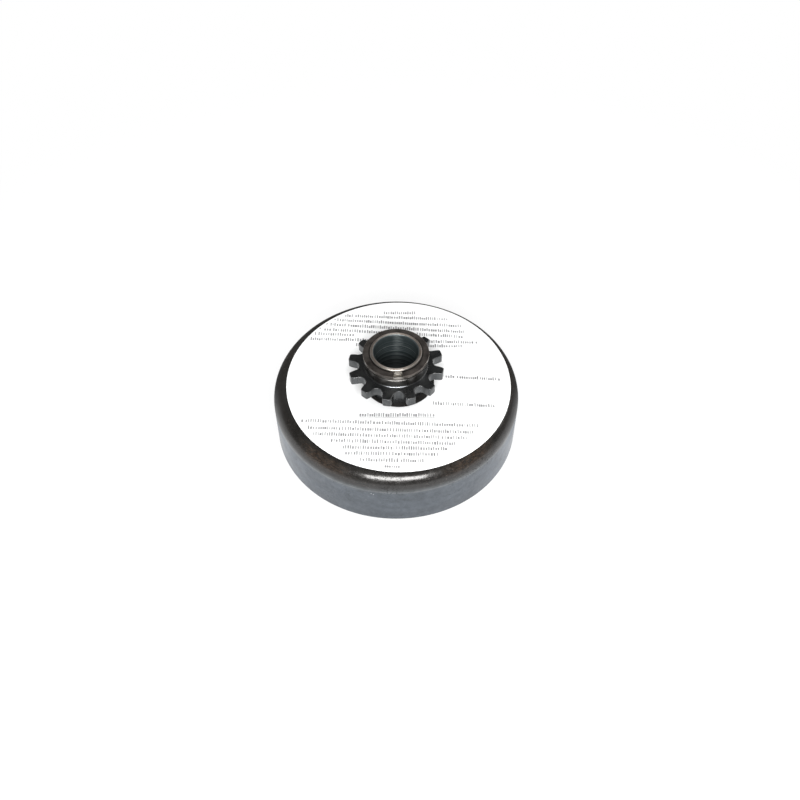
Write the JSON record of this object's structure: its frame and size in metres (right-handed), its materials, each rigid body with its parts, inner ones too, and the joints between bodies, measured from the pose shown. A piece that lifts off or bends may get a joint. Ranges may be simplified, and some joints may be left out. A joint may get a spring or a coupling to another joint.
{
  "type": "centrifugal clutch",
  "caption": "Centrifugal clutch: a pressed steel drum with a chain sprocket turns on the sleeve of a keyed hub, and sprung shoes slide out inside it.",
  "frame": {"origin": "centre of the drum's open rim, on the axis, in the plane that the clutch rests on", "axes": "+Z along the shaft axis from the drum's open side towards the sprocket; one shoe points along +Y"},
  "size_m": [0.108, 0.108, 0.0464],
  "materials": {
    "drum_steel": "dark oiled oxide on pressed steel, glossy on the shoulder",
    "label_film": "smooth white film with faint grey print",
    "black_oxide": "black oxide, oiled",
    "bronze": "sintered bronze, oiled",
    "washer_steel": "bright steel, tarnished",
    "spring_steel": "phosphated spring steel",
    "hub_steel": "turned steel, oiled",
    "zinc_steel": "zinc-plated pressed steel",
    "rivet_steel": "zinc-plated",
    "sintered_iron": "sintered iron, steam-treated",
    "friction_lining": "moulded friction material",
    "pin_steel": "ground steel",
    "spring_wire": "drawn spring wire"
  },
  "bodies": {
    "driver": {"hub": "hub_steel", "guide_plate": "zinc_steel", "retainer_plate": "zinc_steel", "plate_rivets": "rivet_steel", "inner_washer": "washer_steel", "outer_washer": "washer_steel", "retaining_ring": "spring_steel", "spring_1": "spring_wire", "spring_2": "spring_wire", "spring_3": "spring_wire"},
    "drum_assembly": {"drum": "drum_steel", "face_label": "label_film", "sprocket": "black_oxide", "bushing": "bronze"},
    "shoe_1": {"shoe_1": "sintered_iron", "lining_1": "friction_lining", "spring_pins_1": "pin_steel"},
    "shoe_2": {"shoe_2": "sintered_iron", "lining_2": "friction_lining", "spring_pins_2": "pin_steel"},
    "shoe_3": {"shoe_3": "sintered_iron", "lining_3": "friction_lining", "spring_pins_3": "pin_steel"}
  },
  "joints": [
    {"name": "drum_spin", "type": "hinge", "parent": "driver", "child": "drum_assembly", "pos_m": [0, 0, 0.028], "axis": [0, 0, 1], "continuous": true},
    {"name": "shoe_1_slide", "type": "slide", "parent": "driver", "child": "shoe_1", "axis": [0, 1, 0], "range_m": [0, 0.0008], "stiffness_N_per_m": 4000, "springref_m": -0.001, "deforming": ["spring_1", "spring_3"]},
    {"name": "shoe_2_slide", "type": "slide", "parent": "driver", "child": "shoe_2", "axis": [-0.866, -0.5, 0], "range_m": [0, 0.0008], "stiffness_N_per_m": 4000, "springref_m": -0.001, "deforming": ["spring_1", "spring_2"]},
    {"name": "shoe_3_slide", "type": "slide", "parent": "driver", "child": "shoe_3", "axis": [0.866, -0.5, 0], "range_m": [0, 0.0008], "stiffness_N_per_m": 4000, "springref_m": -0.001, "deforming": ["spring_2", "spring_3"]}
  ],
  "couplings": [
    {"joint": "shoe_2_slide", "follows": "shoe_1_slide", "ratio": 1},
    {"joint": "shoe_3_slide", "follows": "shoe_1_slide", "ratio": 1}
  ]
}
